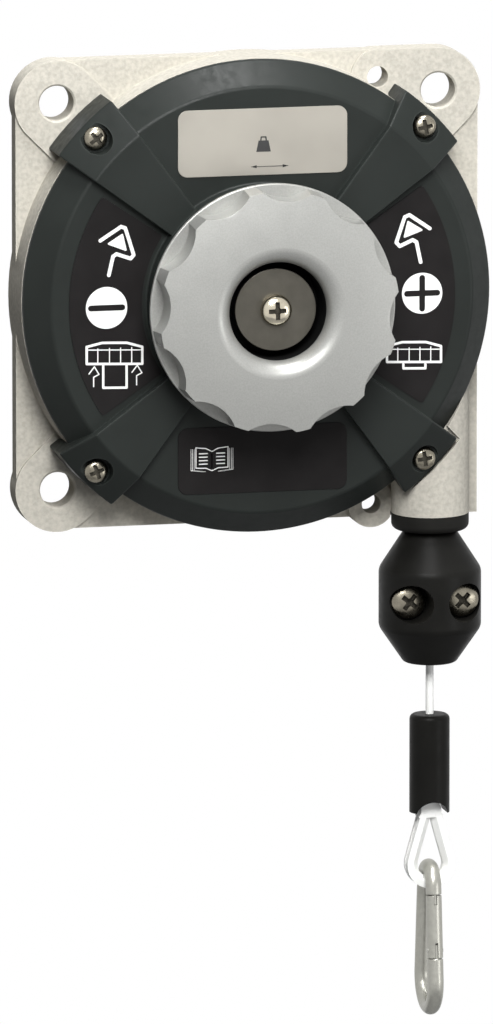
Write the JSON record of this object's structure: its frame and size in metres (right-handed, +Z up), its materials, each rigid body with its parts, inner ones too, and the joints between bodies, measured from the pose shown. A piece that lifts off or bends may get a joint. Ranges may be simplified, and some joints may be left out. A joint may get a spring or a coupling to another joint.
{
  "type": "tool balancer",
  "caption": "Spring tool balancer with a square cast back plate, round plastic cover, fluted tension knob, and a steel cable with a clamp stopper and snap hook.",
  "frame": {"origin": "centre of the fixing-hole square, on the face that lies against the wall", "axes": "+Z up, against the pull of the cable; +Y into the wall; +X to the right as seen from the front, where the cable comes out"},
  "size_m": [0.1226, 0.0482, 0.2523],
  "materials": {
    "housing": "blasted die casting",
    "cover": "fine moulded texture",
    "knob": "satin silver grey",
    "fastener": "nickel plated",
    "bright_fastener": "bright",
    "washer": "turned",
    "plate": "satin",
    "label": "printed film",
    "steel": "ground",
    "spring": "blued",
    "bronze": "sintered",
    "drum": "moulded",
    "nylon": "smooth",
    "cable": "coated",
    "rubber": "matt",
    "stopper": "satin",
    "zinc": "zinc plated"
  },
  "bodies": {
    "housing": {"housing": "housing", "front_cover": "cover", "cover_screw_1": "fastener", "cover_screw_2": "fastener", "cover_screw_3": "fastener", "cover_screw_4": "fastener", "front_bush": "bronze", "rating_plate": "plate", "lower_label": "label", "left_label": "label", "right_label": "label", "ratchet_ring": "steel", "cable_guide": "nylon", "bumper": "rubber"},
    "arbor": {"spring_arbor": "steel", "knob_washer": "washer", "knob_screw": "bright_fastener"},
    "knob": {"adjustment_knob": "knob", "knob_spring": "spring"},
    "drum": {"drum": "drum", "drum_bush": "bronze", "cable_winding": "cable", "mainspring": "spring", "spring_lid": "steel"},
    "hook": {"cable_run": "cable", "cable_tail": "cable", "stopper_front": "stopper", "stopper_back": "stopper", "clamp_screw_1": "fastener", "clamp_screw_2": "fastener", "clamp_nut_1": "fastener", "clamp_nut_2": "fastener", "cable_sleeve": "stopper", "crimp_ferrule": "steel", "thimble": "nylon", "cable_loop": "cable"},
    "carabiner": {"carabiner_body": "zinc", "gate_pin": "zinc"},
    "gate": {"carabiner_gate": "zinc"}
  },
  "joints": [
    {"name": "hook_pull", "type": "slide", "parent": "housing", "child": "hook", "axis": [0, 0, -1], "range_m": [0, 1.6], "stiffness_N_per_m": 0.6, "springref_m": -10, "deforming": ["cable_run"]},
    {"name": "drum_spin", "type": "hinge", "parent": "housing", "child": "drum", "pos_m": [0, -0.01, 0], "axis": [0, 1, 0], "range_deg": [0, 1940]},
    {"name": "knob_turn", "type": "hinge", "parent": "housing", "child": "arbor", "pos_m": [0, -0.03, 0], "axis": [0, 1, 0], "continuous": true},
    {"name": "knob_pull", "type": "slide", "parent": "arbor", "child": "knob", "axis": [0, -1, 0], "range_m": [0, 0.005], "stiffness_N_per_m": 800, "springref_m": -0.005, "deforming": ["knob_spring"]},
    {"name": "carabiner_swing", "type": "hinge", "parent": "hook", "child": "carabiner", "pos_m": [0.0473, -0.01, -0.1569], "axis": [1, 0, 0], "range_deg": [-40, 40]},
    {"name": "gate_open", "type": "hinge", "parent": "carabiner", "child": "gate", "pos_m": [0.0473, -0.01656, -0.17286], "axis": [-1, 0, 0], "range_deg": [0, 20], "stiffness_Nm_per_rad": 0.05, "springref_deg": -28.65}
  ],
  "couplings": [
    {"joint": "drum_spin", "follows": "hook_pull", "rad_per_m": 21.142}
  ]
}
